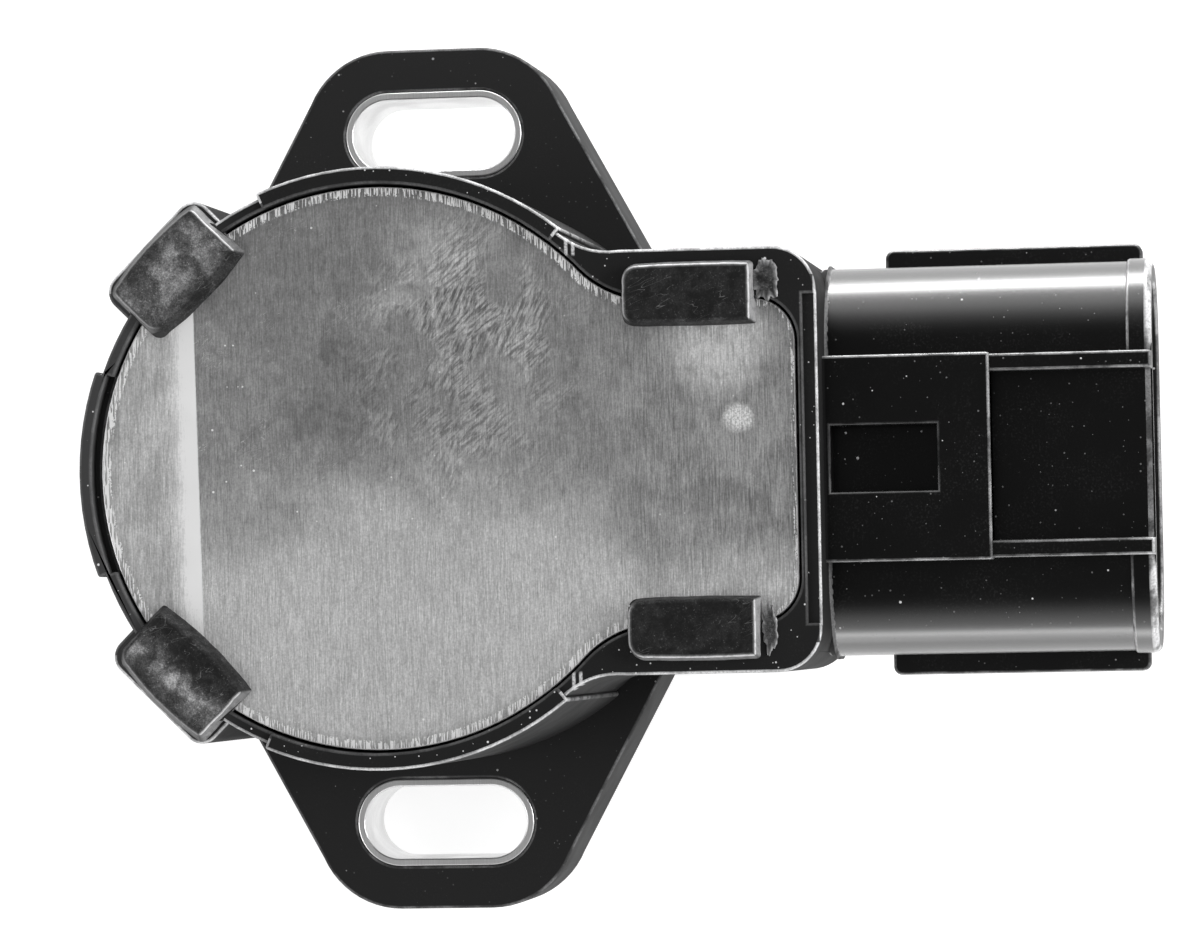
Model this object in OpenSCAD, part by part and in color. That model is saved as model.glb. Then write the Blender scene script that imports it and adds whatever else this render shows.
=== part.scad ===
// Throttle position sensor with a two-slot flange and a four-way side connector.
// Sizes are in millimetres. The origin is on the rotor axis, in the mounting face.
// +Z points away from the throttle body, and the connector mouth faces -Y.

/* [Body] */
// Radius of the round body at its rim
body_r = 16.95; // [16.6:0.05:17.6]
// Height of the rim above the mounting face
body_h = 27.7; // [26.6:0.1:30]
// Thickness of the closed floor
floor_t = 3; // [2.6:0.1:3.4]
// Thickness of the rim round the circular part of the cover plate
rim_t = 0.7; // [0.6:0.05:0.9]
// Width of the shelf that carries the cover gasket
shelf_w = 1.45; // [1:0.05:1.5]
// How far the raised rim arcs stand outside the body
arc_proud = 0.3; // [0.1:0.05:0.5]
// How far the raised rim arcs stand above the rim
arc_rise = 0.3; // [0.1:0.05:0.5]
// How far the rim bulges outward opposite the connector
bulge_proud = 0.45; // [0.1:0.05:0.6]
// Radius of the flange disc under the body
flange_r = 17.7; // [17.5:0.1:19]

/* [Neck] */
// Half the width of the neck between body and connector
neck_half = 12.05; // [11.7:0.05:12.5]
// Distance from the rotor axis to the end wall of the neck
neck_end = 25.35; // [25:0.05:28]
// Radius of the neck's outer corners
neck_corner = 2.5; // [1.5:0.1:4]
// Radius of the hollow blend between body and neck
neck_fillet = 4.5; // [2:0.1:5]
// How far the neck's underside lies below the connector shroud
neck_drop = 1.2; // [0.8:0.1:2]
// Width of the rim along the sides of the neck
neck_rim = 2.75; // [2.2:0.05:3]
// Width of the rim along the end of the neck
end_rim = 1.1; // [0.9:0.05:1.6]

/* [Mounting] */
// Distance between the two slot centres
slot_pitch = 42; // [41.6:0.1:46]
// Clear width of each slot
slot_w = 4.4; // [4.2:0.1:5]
// Clear length of each slot
slot_l = 10; // [9.4:0.1:12]
// Thickness of the ears and of their sleeves
ear_t = 6.5; // [5:0.1:8]
// Width of the plastic between a sleeve and the edge of its ear
ear_wall = 2.6; // [2.2:0.05:3.4]
// Wall of the metal sleeves
sleeve_wall = 0.45; // [0.3:0.05:0.8]
// How far the spigot lies inside the wall of the body
spigot_inset = 3.95; // [3.5:0.05:4.4]
// Height of the spigot below the mounting face
spigot_h = 2.5; // [2:0.1:4]
// Wall of the spigot
spigot_wall = 2; // [1.5:0.1:2.2]

/* [Cover] */
// Thickness of the aluminium cover plate
plate_t = 0.8; // [0.6:0.05:1]
// Depth of the plate's upper face below the rim
plate_sink = 0.3; // [0.1:0.05:0.5]
// Gap between the plate's edge and the rim
plate_gap = 0.15; // [0.1:0.05:0.3]
// Thickness of the gasket under the plate
gasket_t = 0.6; // [0.4:0.05:0.8]
// Height of the staked tabs above the cover plate
tab_h = 1.1; // [0.8:0.05:1.4]

/* [Connector] */
// Distance from the rotor axis to the connector's mouth
mouth_y = 44; // [43:0.1:48]
// Outer width of the connector shroud
shroud_w = 22.5; // [22:0.1:23.6]
// Outer height of the connector shroud
shroud_h = 12.6; // [12.4:0.1:13.4]
// Wall of the connector shroud
shroud_wall = 1.3; // [1:0.05:1.4]
// Depth of the shroud's top below the rim
shroud_drop = 4.7; // [4.2:0.05:5]
// Radius of the shroud's outer corners
shroud_corner = 5; // [4:0.1:5.8]
// How far the side fins stand out
fin_proud = 1.2; // [0.8:0.1:1.6]
// Outer width of the latch hood
hood_w = 11.8; // [10.5:0.1:12.6]
// Length of the latch hood
hood_l = 9.5; // [8:0.1:10.5]
// Height of the latch hood above the shroud
hood_rise = 1.8; // [1.6:0.05:2.2]
// Width of the window in the latch hood
window_w = 3.75; // [3:0.05:4.5]
// Length of the window in the latch hood
window_l = 6.05; // [4.5:0.05:6.8]
// Width of the terminal blades
blade_w = 2.3; // [1.8:0.1:2.6]
// Thickness of the terminals
blade_t = 0.64; // [0.5:0.02:0.8]
// Distance between neighbouring terminals
blade_pitch = 4.2; // [3.8:0.1:4.4]
// Distance of the terminal tips inside the mouth
blade_recess = 5; // [4.6:0.1:8]

/* [Rotor] */
// Radial width of the rotor seal
seal_w = 2.4; // [2.2:0.1:2.8]
// Radial clearance of the journal in its bore
journal_gap = 0.05; // [0.03:0.01:0.08]
// Wall of the bearing tube
tube_wall = 1.3; // [1:0.05:1.5]
// Gap between the rotor's flange and the wall
disc_room = 2.2; // [2:0.1:2.4]
// Thickness of the rotor's flange
disc_t = 2; // [1.6:0.1:2.2]
// Length of the rotor's end below the mounting face
rotor_drop = 1.2; // [0.8:0.1:1.8]
// Wall of the rotor round the drive socket
socket_wall = 2.8; // [2.4:0.1:3.2]
// Distance between the drive socket's two flats, as a share of its diameter
flat_share = 0.615; // [0.58:0.005:0.66]
// Depth of the drive socket
socket_depth = 7.2; // [6.4:0.1:8]
// Turn of the rotor from closed to fully open, in degrees
rotor_travel = 100; // [80:1:105]
// Diameter of the return spring's wire
wire_d = 0.8; // [0.6:0.05:0.9]

/* [Hidden] */
$fn = 96;

// Overlap of solids that are joined, and overrun of cuts
lap = 0.5;

// How far a straight side lies inside the arcs that it joins
hair = 0.02;

// Levels, from the rim downward
plate_z = body_h - plate_sink - plate_t;
shelf_z = plate_z - gasket_t;
tab_z = plate_z + plate_t;
board_t = 1.2;
board_drop = 1.6;
board_z = shelf_z - board_drop - board_t;
track_t = 0.1;
wiper_h = 1.8;
pad_h = 2.95;
pad_z = board_z - wiper_h;
disc_z = pad_z - pad_h - disc_t;
washer_t = 0.4;
run_gap = 0.05;
tube_top = disc_z - run_gap - washer_t;
shroud_z = body_h - shroud_drop - shroud_h / 2;
neck_bottom = shroud_z - shroud_h / 2 - neck_drop;
neck_depth = 4.1;
neck_floor = board_z - neck_depth;

// Outlines
pocket_r = body_r - rim_t;
pocket_half = neck_half - neck_rim;
pocket_end = neck_end - end_rim;
pocket_corner = 2.6;
pocket_fillet = 6;
notch = 0.7 * end_rim;
cavity_r = pocket_r - shelf_w;
cavity_half = pocket_half - shelf_w;
cavity_end = pocket_end - shelf_w + 0.15;
cavity_corner = 1.6;
cavity_step = 0.15;
board_gap = 0.2;
spigot_r = body_r - spigot_inset;

// Rim arcs and bulge, as angles from +X
arc_from = -39;
arc_to = 23;
bulge_half_angle = 20;
bulge_wall = 0.75;

// Staked tabs: two across the round rim and two along the neck
tab_angle = 45;
tab_r_in = body_r - 2.75;
tab_r_out = body_r + 1.45;
tab_half = 3.55;
tab_corner = 0.6;
boss_grow = 0.35;
boss_r_in = body_r - 1.45;
boss_corner = 1.1;
neck_tab_in = neck_half - 4.3;
neck_tab_out = neck_half - 0.75;
neck_tab_from = neck_end - 11.05;
neck_tab_to = neck_end - 3.45;

// Ears: their corners share their centres with the ends of the slots
ear_x = slot_pitch / 2;
slot_half = (slot_l - slot_w) / 2;
sleeve_r = slot_w / 2 + sleeve_wall;
ear_r = sleeve_r + ear_wall;

// Connector
shroud_top = shroud_z + shroud_h / 2;
cup_floor = neck_end + 2.6;
lip_l = 1.45;
lip_proud = 0.15;
hood_top = shroud_top + hood_rise;
hood_wall = 1.1;
hood_roof = 1.1;
channel_z = shroud_top - 0.4;
channel_back = neck_end + 0.4;
rail_inset = 0.1;
rail_drop = 0.2;
fin_from = 28.3;
fin_short = 0.7;
fin_t = 1.8;
fin_z = shroud_z - 3.2;
fin_corner = 0.5;
blade_xs = [for (i = [0 : 3]) (i - 1.5) * blade_pitch];
leg_y = cavity_end - 3.35;
leg_w = 1.2;
leg_gap = 0.1;
leg_top = 0.8;
blade_from = neck_end + 0.6;
blade_tip = mouth_y - blade_recess;

// Rotor, its stops and the ribs that carry the board
seal_step = 0.6;
seal_r = spigot_r - spigot_wall - seal_step;
seal_t = 1.7;
seal_gap = 0.12;
journal_r = seal_r - seal_w;
socket_r = journal_r - socket_wall;
socket_flats = 2 * flat_share * socket_r;
disc_r = cavity_r - disc_room;
lug_angle = 40;
lug_half = 1.5;
lug_gap = 0.7;
lug_r = cavity_r - lug_gap;
rib_half = 1;
rib_gap = 0.6;
rib_r = disc_r + rib_gap;
stop_gap = 0.25;
stop_r = (rib_r + lug_r) / 2;
stop_angle = asin((rib_half + lug_half + stop_gap) / stop_r);
rib_angles = [lug_angle - stop_angle, lug_angle + rotor_travel + stop_angle, 205, 335];
pin_r = 0.7;
pin_gap = 0.1;
pin_rise = 0.5;
post_r = 1.2;
post_x = blade_pitch;
post_y = leg_y - 2.7;
pad_from = -4.6;
pad_to = -1.8;
pad_margin = 1;
clip_w = 1.15 * socket_r;
clip_lift = 0.7;
clip_short = 1.4;
clip_crown = 0.75;
clip_leaf = 0.3;

// Printed tracks and their wipers
resistor_r = cavity_r - 3.9;
track_pitch = 2.75;
collector_r = resistor_r - track_pitch;
idle_r = collector_r - track_pitch;
track_w = 1.4;
lead_w = 0.8;
lead_inset = 0.9;
track_from = 25;
track_to = 180 - track_from;
idle_arc = 33;
sheet_t = 0.2;
finger_w = 0.45;
finger_gap = 0.25;
touch_gap = 0.05;

// Return spring
spring_gap = 1.5;
spring_r = journal_r + tube_wall + spring_gap;
spring_rise = 0.9;
spring_bottom = floor_t + spring_rise;
spring_top = disc_z - spring_rise;
spring_turns = 5.25;
spring_start = 60;
spring_steps = 26;
spring_sides = 8;
leg_sink = 0.9;

// Half plane wedge from one angle to another, less than half a turn apart
module sector(from, to) {
    reach = 60;
    mid = (from + to) / 2;
    polygon([[0, 0], reach * [cos(from), sin(from)], reach * [cos(mid), sin(mid)],
        reach * [cos(to), sin(to)]]);
}

module tube(inner, outer, h) {
    difference() {
        cylinder(r = outer, h = h);
        translate([0, 0, -lap]) cylinder(r = inner, h = h + 2 * lap);
    }
}

// Block with rounded upright edges, centred on the Z axis
module rounded_box(w, d, h, r) {
    translate([r - w / 2, -d / 2, 0]) cube([w - 2 * r, d, h]);
    translate([-w / 2, r - d / 2, 0]) cube([w, d - 2 * r, h]);
    for (sx = [-1, 1], sy = [-1, 1]) translate([sx * (w / 2 - r), sy * (d / 2 - r), 0])
        cylinder(r = r, h = h);
}

// Bar with true round ends along Y
module slot_bar(r, half, h) {
    translate([-r, -half, 0]) cube([2 * r, 2 * half, h]);
    for (s = [-1, 1]) translate([0, s * half, 0]) cylinder(r = r, h = h);
}

// A part and its mirror image on the other side of the YZ plane
module both_sides() {
    children();
    mirror([1, 0, 0]) children();
}

// Disc with a neck toward -Y, blended by hollow fillets. The blend's filling overruns both
// points where the fillet touches by a little.
module keyhole(r, half, end, corner, fillet, h) {
    centre = [half + fillet, -sqrt(pow(r + fillet, 2) - pow(half + fillet, 2))];
    touch = atan2(centre[1], centre[0]) + 1.5;
    low = centre[1] - lap;
    difference() {
        union() {
            cylinder(r = r, h = h);
            translate([-half, corner - end, 0]) cube([2 * half, end - corner, h]);
            translate([corner - half, -end, 0]) cube([2 * (half - corner), end, h]);
            both_sides() {
                translate([half - corner, corner - end, 0]) cylinder(r = corner, h = h);
                linear_extrude(h)
                    polygon([[0, 0], r * [cos(touch), sin(touch)], centre, [centre[0], low], [0, low]]);
            }
        }
        both_sides() translate([centre[0], centre[1], -lap]) cylinder(r = fillet, h = h + 2 * lap);
    }
}

module body_block(h) { keyhole(body_r, neck_half, neck_end, neck_corner, neck_fillet, h); }

// Space for the cover, less a gap all round
module cover_block(gap, h) {
    keyhole(pocket_r - gap, pocket_half - gap, pocket_end - gap, pocket_corner - gap, pocket_fillet, h);
}

// Space under the cover, less a gap all round
module cavity_block(gap, h) {
    keyhole(cavity_r - gap, cavity_half - gap, cavity_end - gap, cavity_corner, pocket_fillet, h);
}

// Flange: a disc, and two ears whose straight sides run along tangents of the disc. The sides
// lie a hair inside the arcs that they join.
module flange() {
    reach = norm([ear_x, slot_half]);
    normal = atan2(slot_half, ear_x) + acos((flange_r - ear_r) / reach);
    out = [cos(normal), sin(normal)];
    near = (flange_r - hair) * out;
    far = [ear_x, slot_half] + (ear_r - hair) * out;
    cylinder(r = flange_r, h = ear_t);
    both_sides() {
        linear_extrude(ear_t) polygon([[0, near[1]], near, far, [ear_x, slot_half],
            [ear_x, -slot_half], [far[0], -far[1]], [near[0], -near[1]], [0, -near[1]]]);
        translate([ear_x, -slot_half, 0]) cube([ear_r, 2 * slot_half, ear_t]);
        for (s = [-1, 1]) translate([ear_x, s * slot_half, 0]) cylinder(r = ear_r, h = ear_t);
    }
}

// Posts beside the rim that the round rim's tabs are staked from
module tab_bosses() {
    for (s = [-1, 1]) rotate(90 + s * tab_angle)
        translate([(tab_r_out + boss_grow + boss_r_in) / 2, 0, ear_t - lap])
            rounded_box(tab_r_out + boss_grow - boss_r_in, 2 * (tab_half + boss_grow),
                tab_z - ear_t + lap, boss_corner);
}

module staked_tabs() {
    for (s = [-1, 1]) {
        rotate(90 + s * tab_angle) translate([(tab_r_in + tab_r_out) / 2, 0, tab_z])
            rounded_box(tab_r_out - tab_r_in, 2 * tab_half, tab_h, tab_corner);
        translate([s * (neck_tab_in + neck_tab_out) / 2, -(neck_tab_from + neck_tab_to) / 2, tab_z])
            rounded_box(neck_tab_out - neck_tab_in, neck_tab_to - neck_tab_from, tab_h, tab_corner);
    }
}

// Slice of a disc between two angles
module disc_slice(r, from, to, h) {
    intersection() {
        cylinder(r = r, h = h);
        linear_extrude(h) sector(from, to);
    }
}

// Short lengths of higher rim over the ears, and the bulge opposite the connector
module rim_arcs() {
    translate([0, 0, ear_t - lap]) {
        both_sides() disc_slice(body_r + arc_proud, arc_from, arc_to, body_h + arc_rise - ear_t + lap);
        disc_slice(body_r + bulge_proud, 90 - bulge_half_angle, 90 + bulge_half_angle,
            body_h - ear_t + lap);
    }
}

// Length of the shroud's outline, between two distances from the rotor axis
module shroud_bar(from, to, grow) {
    translate([0, -from, shroud_z]) rotate([90, 0, 0])
        rounded_box(shroud_w + 2 * grow, shroud_h + 2 * grow, to - from, shroud_corner + grow);
}

module connector_solid() {
    fin_out = shroud_w / 2 + fin_proud;
    rail_w = hood_w / 2 - rail_inset;
    shroud_bar(neck_end - lap, mouth_y, 0);
    shroud_bar(mouth_y - lip_l, mouth_y, lip_proud);
    both_sides() translate([fin_out / 2, -(fin_from + mouth_y - fin_short) / 2, fin_z])
        rounded_box(fin_out, mouth_y - fin_short - fin_from, fin_t, fin_corner);
    translate([-hood_w / 2, -neck_end - hood_l, shroud_z])
        cube([hood_w, hood_l + lap, hood_top - shroud_z]);
    translate([-rail_w, -mouth_y, shroud_z])
        cube([2 * rail_w, mouth_y - neck_end, hood_top - rail_drop - shroud_z]);
}

// Room inside the connector: the cup, the latch channel and the window in the hood
module connector_room() {
    channel_w = hood_w - 2 * hood_wall;
    shroud_bar(cup_floor, mouth_y + lap, -shroud_wall);
    translate([-channel_w / 2, -mouth_y - lap, channel_z])
        cube([channel_w, mouth_y + lap - channel_back, hood_top - hood_roof - channel_z]);
    translate([-channel_w / 2, -mouth_y - lap, channel_z])
        cube([channel_w, mouth_y + lap - neck_end - hood_l, hood_top + lap - channel_z]);
    translate([-window_w / 2, -channel_back - window_l, channel_z])
        cube([window_w, window_l, hood_top + lap - channel_z]);
}

module sleeve(sx) {
    color("#d8d8d4") translate([sx * ear_x, 0, 0]) difference() {
        slot_bar(sleeve_r, slot_half, ear_t);
        translate([0, 0, -lap]) slot_bar(slot_w / 2, slot_half, ear_t + 2 * lap);
    }
}

// Terminal: a blade in the cup, and a leg that rises through the board
module terminal(i) {
    top = board_z + board_t + leg_top;
    bottom = shroud_z - blade_t / 2;
    color("#cfc9b4") translate([blade_xs[i], 0, 0]) {
        translate([0, 0, bottom]) linear_extrude(blade_t)
            polygon([[-blade_w / 2, -blade_from], [blade_w / 2, -blade_from], [blade_w / 2, 1 - blade_tip],
                [blade_w / 4, -blade_tip], [-blade_w / 4, -blade_tip], [-blade_w / 2, 1 - blade_tip]]);
        translate([-leg_w / 2, -blade_from - lap, bottom])
            cube([leg_w, blade_from + lap - leg_y + blade_t / 2, blade_t]);
        translate([-leg_w / 2, -leg_y - blade_t / 2, bottom]) cube([leg_w, blade_t, top - bottom]);
    }
}

// Holes for the terminals' legs
module leg_holes(h) {
    w = leg_w + 2 * leg_gap;
    d = blade_t + 2 * leg_gap;
    for (x = blade_xs) translate([x - w / 2, -leg_y - d / 2, 0]) cube([w, d, h]);
}

module housing() {
    color("#262626") {
        difference() {
            union() {
                flange();
                cylinder(r = body_r, h = body_h);
                translate([0, 0, neck_bottom]) body_block(body_h - neck_bottom);
                translate([0, 0, -spigot_h]) cylinder(r = spigot_r, h = spigot_h + lap);
                rim_arcs();
                tab_bosses();
                connector_solid();
            }
            translate([0, 0, shelf_z]) cover_block(0, body_h);
            translate([0, 0, plate_z]) disc_slice(body_r + bulge_proud - bulge_wall,
                90 - bulge_half_angle, 90 + bulge_half_angle, body_h);
            translate([0, 0, neck_floor]) cavity_block(0, body_h);
            translate([0, 0, floor_t]) cylinder(r = cavity_r - cavity_step, h = body_h);
            translate([0, 0, -spigot_h - lap]) cylinder(r = spigot_r - spigot_wall, h = spigot_h + lap);
            translate([0, 0, -lap]) cylinder(r = journal_r + journal_gap, h = body_h);
            translate([0, 0, -lap]) cylinder(r = seal_r, h = seal_t + lap);
            both_sides() translate([ear_x, 0, -lap]) slot_bar(sleeve_r, slot_half, ear_t + 2 * lap);
            connector_room();
            for (i = [0 : 3]) terminal(i);
            spring_hole(spring_start, floor_t - leg_sink);
            translate([-pocket_half, -neck_end - lap, body_h - plate_sink])
                cube([2 * pocket_half, lap + notch, body_h]);
        }
        bearing_tube();
        board_ribs();
        board_posts();
        staked_tabs();
    }
}

module bearing_tube() {
    translate([0, 0, floor_t - lap]) tube(journal_r + journal_gap, journal_r + tube_wall, tube_top - floor_t + lap);
}

// Ribs that carry the board. Two of them also stop the rotor's lug.
module board_ribs() {
    for (a = rib_angles) rotate(a) translate([rib_r, -rib_half, floor_t - lap])
        cube([cavity_r - rib_r + lap, 2 * rib_half, board_z - floor_t + lap]);
}

// Posts in the neck that locate the board, between the outer and the inner terminals
module board_posts() {
    for (s = [-1, 1]) translate([s * post_x, -post_y, neck_floor - lap]) {
        cylinder(r = post_r, h = board_z - neck_floor + lap);
        cylinder(r = pin_r, h = board_z + board_t - neck_floor + lap + pin_rise);
    }
}

module spring_hole(a, z) {
    rotate(a) translate([spring_r, 0, z]) cylinder(d = wire_d + 0.2, h = leg_sink + lap, $fn = 24);
}

module slot_sleeve_upper() { sleeve(1); }
module slot_sleeve_lower() { sleeve(-1); }

module cover_plate() {
    color("#b9bcbe") translate([0, 0, plate_z]) cover_block(plate_gap, plate_t);
}

module cover_gasket() {
    color("#3a3a3c") translate([0, 0, shelf_z]) difference() {
        cover_block(plate_gap, gasket_t);
        translate([0, 0, -lap]) cover_block(shelf_w - plate_gap, gasket_t + 2 * lap);
    }
}

module track_board() {
    color("#e6e2d6") translate([0, 0, board_z]) difference() {
        cavity_block(board_gap, board_t);
        translate([0, 0, -lap]) leg_holes(board_t + 2 * lap);
        for (s = [-1, 1]) translate([s * post_x, -post_y, -lap])
            cylinder(r = pin_r + pin_gap, h = board_t + 2 * lap, $fn = 32);
    }
}

// Printed conductor along a list of points. Its straight lengths lie a hair inside its round joints.
module lead(points) {
    for (i = [0 : len(points) - 2]) {
        step = points[i + 1] - points[i];
        translate(points[i]) rotate(atan2(step[1], step[0]))
            translate([0, hair - lead_w / 2, 0]) cube([norm(step), lead_w - 2 * hair, track_t]);
    }
    for (p = points) translate(p) cylinder(d = lead_w, h = track_t, $fn = 24);
}

// From the start of an arc, straight down to a turn, and across to a terminal
function lead_path(r, turn, i, straight) = [r * [cos(track_from), sin(track_from)], [r - lead_inset, -turn],
    [blade_xs[i], straight - leg_y], [blade_xs[i], -leg_y]];

// What is printed on the underside of the board, with holes for the terminals' legs
module printed(colour) {
    color(colour) translate([0, 0, board_z - track_t]) difference() {
        union() children();
        translate([0, 0, -lap]) leg_holes(track_t + 2 * lap);
    }
}

module track_arc(r, from, to) {
    difference() {
        disc_slice(r + track_w / 2, from, to, track_t);
        translate([0, 0, -lap]) cylinder(r = r - track_w / 2, h = track_t + 2 * lap);
    }
}

module solder_pad(i) { translate([blade_xs[i], -leg_y, 0]) cylinder(r = leg_w, h = track_t, $fn = 32); }

module resistor_track() {
    printed("#1c1c20") {
        track_arc(resistor_r, track_from, track_to);
        both_sides() lead(lead_path(resistor_r, 8, 3, 3));
        for (i = [0, 3]) solder_pad(i);
    }
}

module collector_track() {
    printed("#c9ccd0") {
        track_arc(collector_r, track_from, track_to);
        lead(lead_path(collector_r, 7, 2, 3));
        solder_pad(2);
    }
}

module idle_track() {
    printed("#b8a060") {
        track_arc(idle_r, track_from, track_from + idle_arc);
        lead(lead_path(idle_r, 2, 1, 6));
        solder_pad(1);
    }
}

module terminal_1() { terminal(0); }
module terminal_2() { terminal(1); }
module terminal_3() { terminal(2); }
module terminal_4() { terminal(3); }

module solder_joints() {
    color("#c4c7ca") for (i = [0 : 3]) difference() {
        translate([blade_xs[i], -leg_y, board_z + board_t])
            cylinder(r1 = leg_w, r2 = leg_w * 0.6, h = leg_top - 0.2, $fn = 32);
        terminal(i);
    }
}

// Socket for the end of the throttle shaft, which has two flats
module socket() {
    h = socket_depth + lap;
    intersection() {
        cylinder(r = socket_r, h = h);
        translate([-socket_flats / 2, -socket_r - lap, 0]) cube([socket_flats, 2 * (socket_r + lap), h]);
    }
}

module rotor() {
    color("#4a4038") difference() {
        union() {
            translate([0, 0, -rotor_drop]) cylinder(r = journal_r, h = rotor_drop + disc_z + lap);
            translate([0, 0, disc_z]) cylinder(r = disc_r, h = disc_t);
            rotate(lug_angle) translate([disc_r - lap, -lug_half, disc_z])
                cube([lug_r - disc_r + lap, 2 * lug_half, disc_t]);
            rotate(lug_angle) translate([idle_r - pad_margin, pad_from, disc_z + disc_t - lap])
                cube([resistor_r - idle_r + 2 * pad_margin, pad_to - pad_from, pad_h + lap]);
        }
        translate([0, 0, -rotor_drop - lap]) socket();
        spring_hole(spring_start + 360 * spring_turns, disc_z - lap);
    }
}

// Leaf spring that takes up the play of the shaft in the socket
module drive_clip() {
    wall = -socket_flats / 2;
    clip_h = socket_depth - clip_short;
    color("#c2c6c8") translate([0, clip_w / 2, clip_lift - rotor_drop]) rotate([90, 0, 0])
        linear_extrude(clip_w) polygon([[wall, 0], [wall + clip_leaf, 0], [wall + clip_crown, clip_h / 2],
            [wall + clip_leaf, clip_h], [wall, clip_h], [wall + clip_crown - clip_leaf, clip_h / 2]]);
}

// Sprung contact: a foot on the rotor's pad and fingers that rise to the tracks. The finger's
// bends and its tip are multiples of the sheet's thickness.
module wiper(radii) {
    rise = board_z - track_t - touch_gap - pad_z;
    pair = [-(finger_gap + finger_w) / 2, (finger_gap + finger_w) / 2];
    low = min(radii) + pair[0] - finger_w / 2;
    high = max(radii) + pair[1] + finger_w / 2;
    color("#d0a860") rotate(lug_angle) translate([0, 0, pad_z]) {
        translate([low, pad_from + sheet_t, 0]) cube([high - low, pad_to - pad_from - 2 * sheet_t, sheet_t]);
        for (r = radii, offset = pair) translate([r + offset - finger_w / 2, 0, 0])
            rotate([90, 0, 90]) linear_extrude(finger_w)
                polygon([[pad_to - 3 * sheet_t, 0], [pad_to - sheet_t, 0], [-1.5 * sheet_t, rise - sheet_t],
                    [1.5 * sheet_t, rise - 2.2 * sheet_t], [2.2 * sheet_t, rise - 1.5 * sheet_t],
                    [sheet_t / 2, rise], [-2 * sheet_t, rise], [pad_to - 2 * sheet_t, sheet_t],
                    [pad_to - 3 * sheet_t, sheet_t]]);
    }
}

module signal_wiper() { wiper([collector_r, resistor_r]); }
module idle_wiper() { wiper([idle_r]); }

// Centre line of the return spring: up out of the floor, round the tube, up into the rotor
function spring_point(a, z) = [spring_r * cos(a), spring_r * sin(a), z];
spring_end = spring_start + 360 * spring_turns;
spring_count = ceil(spring_turns * spring_steps);
spring_path = concat(
    [spring_point(spring_start, floor_t - leg_sink + 0.1), spring_point(spring_start, spring_bottom - 0.5)],
    [for (i = [1 : spring_count - 1]) spring_point(spring_start + i * (spring_end - spring_start) / spring_count,
        spring_bottom + i * (spring_top - spring_bottom) / spring_count)],
    [spring_point(spring_end, spring_top + 0.5), spring_point(spring_end, disc_z + leg_sink - 0.1)]);

module return_spring() {
    last = len(spring_path) - 1;
    rings = [for (i = [0 : last])
        let (ahead = spring_path[min(i + 1, last)], behind = spring_path[max(i - 1, 0)],
            out = [spring_path[i][0], spring_path[i][1], 0] / spring_r,
            along = (ahead - behind) / norm(ahead - behind),
            side = cross(along, out) / norm(cross(along, out)))
        for (k = [0 : spring_sides - 1])
            spring_path[i] + wire_d / 2 * (cos(360 * k / spring_sides) * out
                + sin(360 * k / spring_sides) * side)];
    sides = [for (i = [0 : last - 1], k = [0 : spring_sides - 1])
        let (n = (k + 1) % spring_sides, low = i * spring_sides, high = low + spring_sides)
        [low + k, low + n, high + n, high + k]];
    first = [for (k = [0 : spring_sides - 1]) spring_sides - 1 - k];
    end = [for (k = [0 : spring_sides - 1]) last * spring_sides + k];
    color("#9a9c9e") polyhedron(rings, concat(sides, [first, end]), convexity = 6);
}

module thrust_washer() {
    color("#e8e0c8") translate([0, 0, tube_top]) tube(journal_r + 0.1, journal_r + tube_wall, washer_t);
}

// Lip seal in the counterbore under the floor
module rotor_seal() {
    lip = journal_r + seal_gap;
    color("#1e1e20") rotate_extrude() polygon([[seal_r, 0.1], [seal_r, seal_t], [lip + 0.5, seal_t],
        [lip, seal_t - 0.4], [lip, seal_t - 0.6], [lip + 0.9, 0.5], [lip + 0.9, 0.1]]);
}

housing();
slot_sleeve_upper();
slot_sleeve_lower();
cover_plate();
cover_gasket();
track_board();
resistor_track();
collector_track();
idle_track();
terminal_1();
terminal_2();
terminal_3();
terminal_4();
solder_joints();
rotor();
drive_clip();
signal_wiper();
idle_wiper();
return_spring();
thrust_washer();
rotor_seal();
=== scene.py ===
import math

import bmesh
import bpy
from bpy.props import FloatProperty, FloatVectorProperty, PointerProperty
from bpy.types import Operator, Panel, PropertyGroup
from mathutils import Matrix, Vector, noise


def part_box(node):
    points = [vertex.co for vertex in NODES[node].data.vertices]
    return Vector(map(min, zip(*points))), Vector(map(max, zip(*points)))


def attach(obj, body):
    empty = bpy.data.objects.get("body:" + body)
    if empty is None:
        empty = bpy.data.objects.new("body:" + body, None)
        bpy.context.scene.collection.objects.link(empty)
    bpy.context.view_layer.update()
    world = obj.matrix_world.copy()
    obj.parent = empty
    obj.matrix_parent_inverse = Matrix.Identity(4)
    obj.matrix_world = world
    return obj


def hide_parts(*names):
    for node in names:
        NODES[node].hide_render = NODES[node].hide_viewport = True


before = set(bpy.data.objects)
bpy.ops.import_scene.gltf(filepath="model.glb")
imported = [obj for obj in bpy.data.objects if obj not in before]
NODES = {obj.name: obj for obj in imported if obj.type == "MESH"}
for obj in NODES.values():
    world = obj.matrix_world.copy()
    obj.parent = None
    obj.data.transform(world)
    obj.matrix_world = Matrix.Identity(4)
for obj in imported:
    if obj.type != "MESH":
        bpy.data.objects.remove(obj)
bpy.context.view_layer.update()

bl_info = {
    "name": "Throttle position sensor",
    "version": (1, 0, 0),
    "blender": (4, 5, 0),
    "location": "3D View > Sidebar > Sensor",
    "description": "Dresses the sensor's packed frame with its moulding, cover, sleeves and finishes",
    "category": "Object",
}

MM = 0.001

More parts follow.
